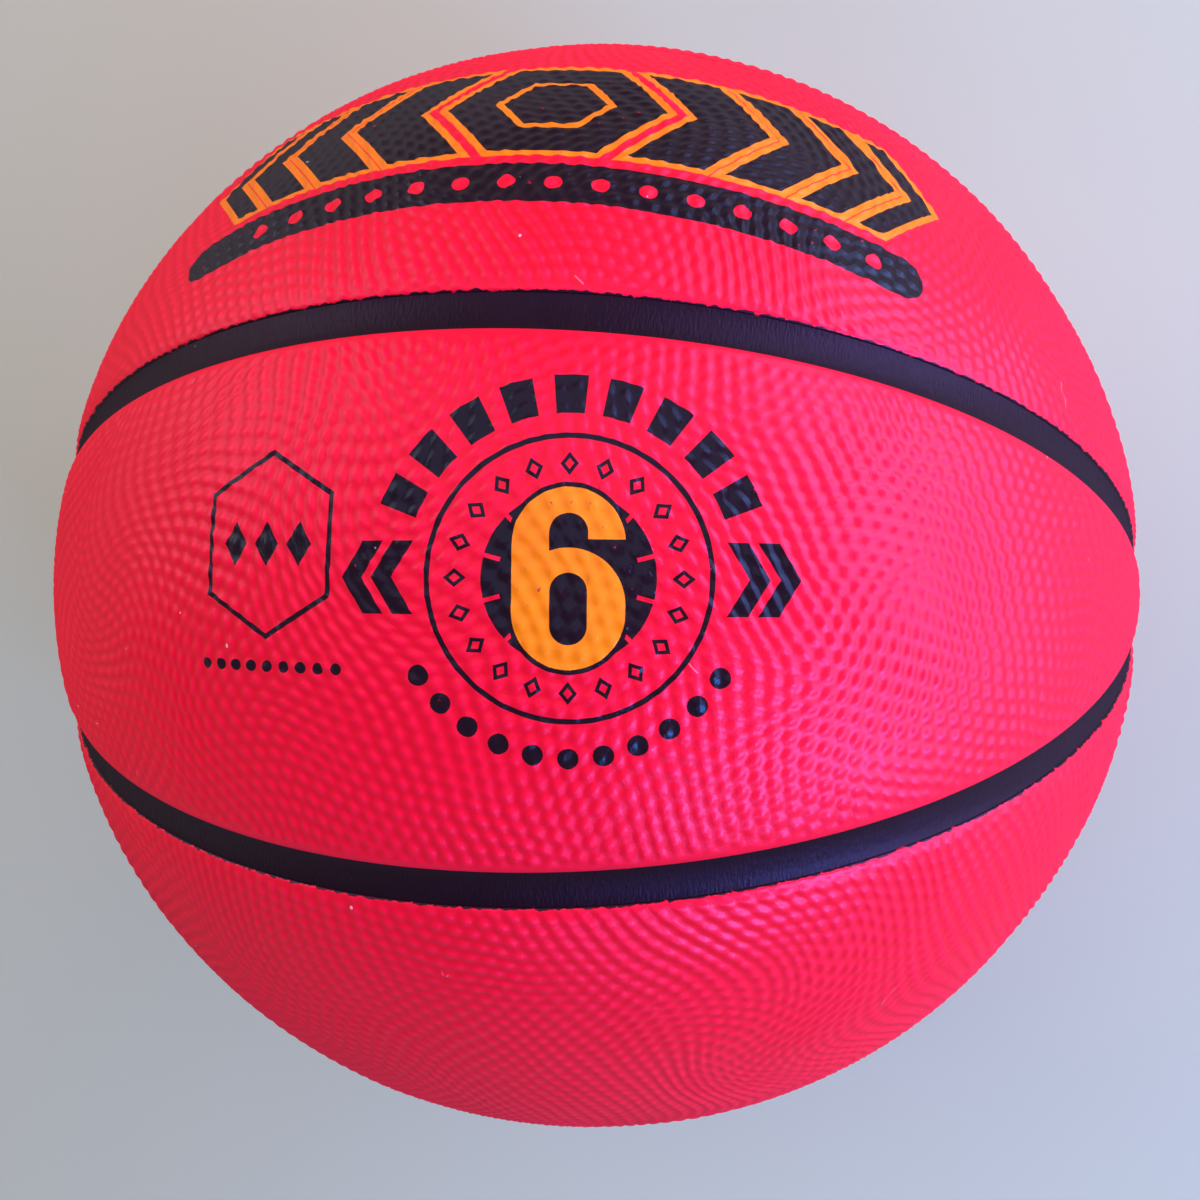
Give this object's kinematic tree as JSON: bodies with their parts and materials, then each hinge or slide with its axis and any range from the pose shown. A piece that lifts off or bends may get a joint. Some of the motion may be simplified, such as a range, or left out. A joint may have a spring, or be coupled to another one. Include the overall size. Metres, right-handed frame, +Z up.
{
  "type": "basketball",
  "caption": "Moulded rubber basketball with equal pebbled panels from pole to pole, recessed black channels and an inflation valve.",
  "frame": {"origin": "the middle of the ball", "axes": "+X through the pole where the panels meet, +Z up through the middle of cover_panel_1, -Y out through the valve"},
  "size_m": [0.23, 0.2321, 0.2324],
  "materials": {
    "cover_rubber": "satin",
    "channel_rubber": "satin",
    "carcass_rubber": "matte",
    "winding_nylon": "satin",
    "bladder_butyl": "satin",
    "valve_rubber": "satin"
  },
  "bodies": {
    "root": {"cover_panel_1": "cover_rubber", "cover_panel_2": "cover_rubber", "cover_panel_3": "cover_rubber", "cover_panel_4": "cover_rubber", "cover_panel_5": "cover_rubber", "cover_panel_6": "cover_rubber", "cover_panel_7": "cover_rubber", "cover_panel_8": "cover_rubber", "channel_strip_1": "channel_rubber", "channel_strip_2": "channel_rubber", "channel_strip_3": "channel_rubber", "channel_strip_4": "channel_rubber", "channel_strip_5": "channel_rubber", "channel_strip_6": "channel_rubber", "channel_strip_7": "channel_rubber", "channel_strip_8": "channel_rubber", "carcass": "carcass_rubber", "nylon_winding": "winding_nylon", "bladder": "bladder_butyl", "valve_housing": "valve_rubber", "valve_core": "valve_rubber"}
  },
  "joints": []
}
